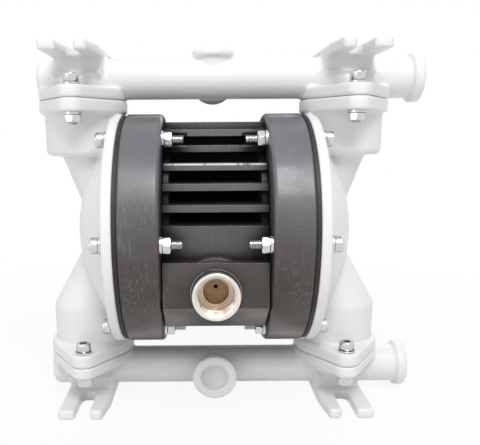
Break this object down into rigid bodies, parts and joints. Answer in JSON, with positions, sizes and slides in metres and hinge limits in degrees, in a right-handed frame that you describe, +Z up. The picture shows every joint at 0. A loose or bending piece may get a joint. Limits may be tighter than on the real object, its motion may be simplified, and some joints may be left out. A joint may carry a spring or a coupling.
{
  "type": "air operated double diaphragm pump",
  "caption": "Air operated double diaphragm pump with white fluid covers, black air section and feet on both manifolds.",
  "frame": {"origin": "middle of the foot plane, below the middle of the diaphragm shaft", "axes": "+Z up; +X along the diaphragm shaft and the pipes, towards the open pipe ends; front with the exhaust port faces -Y"},
  "size_m": [0.2644, 0.162, 0.2478],
  "materials": {
    "white_polypropylene": "moulded polypropylene, satin",
    "black_polymer": "moulded filled polymer, satin with scuffs",
    "ball_polymer": "smooth fluoropolymer",
    "bearing_polymer": "turned bearing polymer",
    "black_rubber": "moulded elastomer",
    "stainless_steel": "bright stainless steel",
    "plate_aluminium": "turned aluminium",
    "nickel_insert": "nickel plated brass, stained inside"
  },
  "bodies": {
    "pump": {"centre_block": "black_polymer", "chamber_screws": "stainless_steel", "cover_washers": "stainless_steel", "exhaust_insert": "nickel_insert", "inlet_insert": "nickel_insert", "inlet_manifold": "white_polypropylene", "inlet_manifold_bolts": "stainless_steel", "inlet_manifold_nuts": "stainless_steel", "left_air_chamber": "black_polymer", "left_chamber_gasket": "black_rubber", "left_cover_bolts": "stainless_steel", "left_cover_nuts": "stainless_steel", "left_diaphragm": "black_rubber", "left_fluid_cover": "white_polypropylene", "left_inlet_ball_cage": "white_polypropylene", "left_inlet_seat": "white_polypropylene", "left_outlet_ball_cage": "white_polypropylene", "left_outlet_seat": "white_polypropylene", "left_shaft_bush": "bearing_polymer", "left_shaft_seal": "black_rubber", "lower_valve_cap": "black_polymer", "manifold_washers": "stainless_steel", "outlet_manifold": "white_polypropylene", "outlet_manifold_bolts": "stainless_steel", "outlet_manifold_nuts": "stainless_steel", "right_air_chamber": "black_polymer", "right_chamber_gasket": "black_rubber", "right_cover_bolts": "stainless_steel", "right_cover_nuts": "stainless_steel", "right_diaphragm": "black_rubber", "right_fluid_cover": "white_polypropylene", "right_inlet_ball_cage": "white_polypropylene", "right_inlet_seat": "white_polypropylene", "right_outlet_ball_cage": "white_polypropylene", "right_outlet_seat": "white_polypropylene", "right_shaft_bush": "bearing_polymer", "right_shaft_seal": "black_rubber", "seat_rings": "black_rubber", "upper_valve_cap": "black_polymer", "valve_cap_screws": "stainless_steel", "valve_gasket": "black_rubber", "valve_housing": "black_polymer", "valve_screws": "stainless_steel"},
    "diaphragm_shaft_assembly": {"diaphragm_shaft": "stainless_steel", "left_air_plate": "plate_aluminium", "right_air_plate": "plate_aluminium", "left_fluid_plate": "white_polypropylene", "right_fluid_plate": "white_polypropylene", "left_plate_screw": "stainless_steel", "right_plate_screw": "stainless_steel"},
    "left_outlet_ball_body": {"left_outlet_ball": "ball_polymer"},
    "right_outlet_ball_body": {"right_outlet_ball": "ball_polymer"},
    "left_inlet_ball_body": {"left_inlet_ball": "ball_polymer"},
    "right_inlet_ball_body": {"right_inlet_ball": "ball_polymer"},
    "valve_spool_assembly": {"valve_spool": "plate_aluminium", "spool_rings": "black_rubber"},
    "left_pilot_pin_body": {"left_pilot_pin": "stainless_steel"},
    "right_pilot_pin_body": {"right_pilot_pin": "stainless_steel"}
  },
  "joints": [
    {"name": "shaft_stroke", "type": "slide", "parent": "pump", "child": "diaphragm_shaft_assembly", "axis": [1, 0, 0], "range_m": [-0.0075, 0.0075], "deforming": ["left_diaphragm", "right_diaphragm"]},
    {"name": "left_outlet_ball_lift", "type": "slide", "parent": "pump", "child": "left_outlet_ball_body", "axis": [0, 0, 1], "range_m": [0, 0.005]},
    {"name": "left_inlet_ball_lift", "type": "slide", "parent": "pump", "child": "left_inlet_ball_body", "axis": [0, 0, 1], "range_m": [0, 0.005]},
    {"name": "right_outlet_ball_lift", "type": "slide", "parent": "pump", "child": "right_outlet_ball_body", "axis": [0, 0, 1], "range_m": [0, 0.005]},
    {"name": "right_inlet_ball_lift", "type": "slide", "parent": "pump", "child": "right_inlet_ball_body", "axis": [0, 0, 1], "range_m": [0, 0.005]},
    {"name": "spool_slide", "type": "slide", "parent": "pump", "child": "valve_spool_assembly", "axis": [0, 0, 1], "range_m": [0, 0.01]},
    {"name": "left_pin_push", "type": "slide", "parent": "pump", "child": "left_pilot_pin_body", "axis": [1, 0, 0], "range_m": [0, 0.0025]},
    {"name": "right_pin_push", "type": "slide", "parent": "pump", "child": "right_pilot_pin_body", "axis": [-1, 0, 0], "range_m": [0, 0.0025]}
  ]
}
